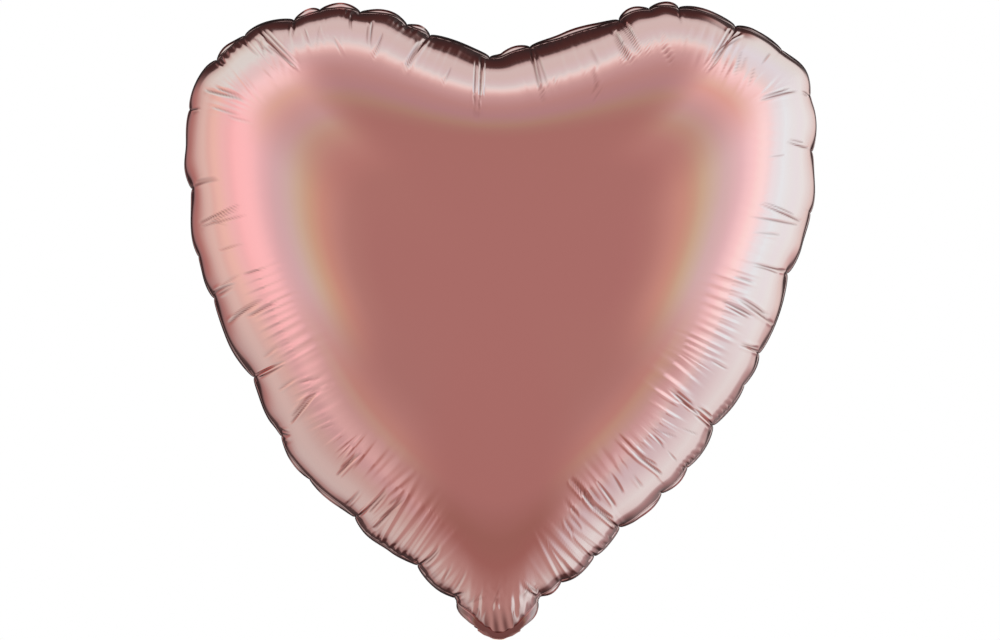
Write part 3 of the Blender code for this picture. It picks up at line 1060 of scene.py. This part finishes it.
def foil_material():
    """Metallised film: its own rose, with a painted rainbow and pearl or blush sheen by its tilt, and
    painted shade in its folds and on its margin.
    """
    material, tree, shader = new_material("rose_foil")
    facing = tree.nodes.new("ShaderNodeSeparateXYZ")
    tree.links.new(tree.nodes.new("ShaderNodeTexCoord").outputs["Normal"], facing.inputs[0])
    across, _, up = facing.outputs
    tilt = math_node(tree, "SQRT", math_node(
        tree, "ADD", math_node(tree, "MULTIPLY", across, across),
        math_node(tree, "MULTIPLY", up, up)))
    length = math_node(tree, "MAXIMUM", tilt, 0.001)
    turned = math_node(tree, "DIVIDE", math_node(
        tree, "ARCSINE", math_node(tree, "MINIMUM", tilt, 1.0)), math.pi / 2)
    # the foil's own rose with a painted rainbow sheen and a painted pearl or blush sheen, by tilt
    foil = by_direction(tree, turned, math_node(tree, "DIVIDE", across, length),
                        math_node(tree, "DIVIDE", up, length), FILM_COLOURS_AND_SHEEN)
    # painted shade: the 'fold' values darken creases, pinches and tip folds, and the 'seal' values
    # darken the margin and the tail's fold
    fold = tree.nodes.new("ShaderNodeAttribute")
    fold.attribute_name = "fold"
    foil = mix_colours(tree, fold.outputs["Fac"], foil, plain_colour(tree, PAINTED_CREASE_SHADE_ROSE))
    seal = tree.nodes.new("ShaderNodeAttribute")
    seal.attribute_name = "seal"
    foil = mix_colours(tree, seal.outputs["Fac"], foil, plain_colour(tree, PAINTED_MARGIN_SHADE_BROWN))
    tree.links.new(foil, shader.inputs["Base Color"])
    shader.inputs["Metallic"].default_value = 1.0
    shader.inputs["Roughness"].default_value = 0.10
    return material


def plain_colour(tree, colour):
    node = tree.nodes.new("ShaderNodeRGB")
    node.outputs[0].default_value = (*colour, 1.0)
    return node.outputs[0]


# The studio's light by direction: strength at each tilt of a mirror, in degrees, that
# shows it to the front. 0 is the light from the front and 90 from right behind.
FRONT_LIGHT = 0.456        # the strength at tilt 0, in every direction
LIGHT_SCALE = 1.25
LIGHT = {
    "right": ((7, .456), (10, .49), (12, .575), (14, .66), (17, .665), (20, .70),
              (23, .77), (26, .88), (28, 1.01), (30, 1.10), (34, 1.13), (37, .99), (41, .92),
              (60, .92), (66, .87), (75, .80), (78, .60), (80, .06), (90, .02)),
    "left": ((7, .456), (10, .49), (12, .585), (14, .665), (17, .667), (20, .70),
             (23, .76), (26, .90), (28.5, 1.07), (31, 1.13), (35, 1.12), (38, 1.0), (46, .94),
             (50, .84), (56, .79), (61, .66), (66, .52), (73, .40), (77, .28), (79, .05),
             (90, .015)),
    "upper_right": ((11, .456), (14, .51), (17, .55), (20, .58), (23, .66),
                    (26, .79), (30, .87), (33, 1.02), (36, 1.09), (39, .92), (43, .85),
                    (66, .84), (71, .78), (73, .08), (90, .02)),
    "upper_left": ((10, .46), (13, .52), (16, .57), (20, .60), (23, .65), (26, .74),
                   (29, .84), (32, 1.04), (35, 1.07), (39, .89), (47, .81), (55, .80),
                   (60, .72), (64, .60), (66, .08), (90, .02)),
    "up": ((20, .45), (24, .48), (28, .512), (33, .57), (37, .66), (40, .88),
           (41.5, .98), (43, .88), (45, .78), (50, .74), (58, .73), (62, .62), (64, .09),
           (90, .02)),
    "lower_right": ((12, .455), (16, .48), (20, .55), (23, .58), (27, .61),
                    (30, .68), (34, .79), (38, .71), (44, .73), (50, .81), (58, .86),
                    (67, .82), (69, .50), (76, .34), (90, .12)),
    "lower_left": ((12, .45), (16, .49), (20, .56), (24, .59), (27, .63),
                   (30, .71), (33, .76), (37, .66), (45, .64), (55, .69), (64, .66),
                   (70, .54), (75, .40), (77, .10), (90, .03)),
    "down": ((22, .45), (26, .405), (30, .367), (35, .38), (42, .47), (50, .52),
             (62, .50), (68, .30), (71, .08), (90, .03)),
}


def light_colours(stops):
    """(tilt, colour) stops of the light; the dark parts of the studio are brown."""
    colours = []
    for degrees, strength in ((0, FRONT_LIGHT),) + stops:
        cool = strength if strength > 0.2 else 0.75 * strength
        colours.append((degrees, (strength / LIGHT_SCALE, cool / LIGHT_SCALE, cool / LIGHT_SCALE)))
    return colours


def make_world():
    world = bpy.data.worlds.new("studio")
    bpy.context.scene.world = world
    world.use_nodes = True
    tree = world.node_tree
    tree.nodes.clear()
    parts = tree.nodes.new("ShaderNodeSeparateXYZ")
    tree.links.new(tree.nodes.new("ShaderNodeTexCoord").outputs["Generated"], parts.inputs[0])
    x, y, z = parts.outputs
    tilt = math_node(tree, "DIVIDE", math_node(
        tree, "ARCCOSINE", math_node(tree, "MULTIPLY", y, -1.0)), math.pi)
    around = math_node(tree, "SQRT", math_node(
        tree, "ADD", math_node(tree, "MULTIPLY", x, x), math_node(tree, "MULTIPLY", z, z)))
    around = math_node(tree, "MAXIMUM", around, 0.001)
    rightward = math_node(tree, "DIVIDE", x, around)
    upward = math_node(tree, "DIVIDE", z, around)
    light = by_direction(tree, tilt, rightward, upward,
                         {name: light_colours(stops) for name, stops in LIGHT.items()})
    lit = tree.nodes.new("ShaderNodeBackground")
    lit.inputs["Strength"].default_value = LIGHT_SCALE
    tree.links.new(light, lit.inputs["Color"])
    seen = tree.nodes.new("ShaderNodeBackground")
    seen.inputs["Color"].default_value = (1, 1, 1, 1)
    mix = tree.nodes.new("ShaderNodeMixShader")
    tree.links.new(tree.nodes.new("ShaderNodeLightPath").outputs["Is Camera Ray"], mix.inputs[0])
    tree.links.new(lit.outputs[0], mix.inputs[1])
    tree.links.new(seen.outputs[0], mix.inputs[2])
    tree.links.new(mix.outputs[0], tree.nodes.new("ShaderNodeOutputWorld").inputs["Surface"])
    bpy.context.scene.view_settings.view_transform = "Standard"


def make_camera():
    camera = bpy.data.objects.new("camera", bpy.data.cameras.new("camera"))
    bpy.context.scene.collection.objects.link(camera)
    bpy.context.scene.camera = camera
    camera.location = (0.0006, -VIEW_DISTANCE, 0.1921)
    camera.rotation_euler = (math.radians(90), 0, 0)
    camera.data.sensor_width = 36
    camera.data.lens = camera.data.sensor_width * VIEW_DISTANCE / VIEW_WIDTH


make_camera()
make_world()
make_panels()
make_tail()
make_valve()
make_floor()
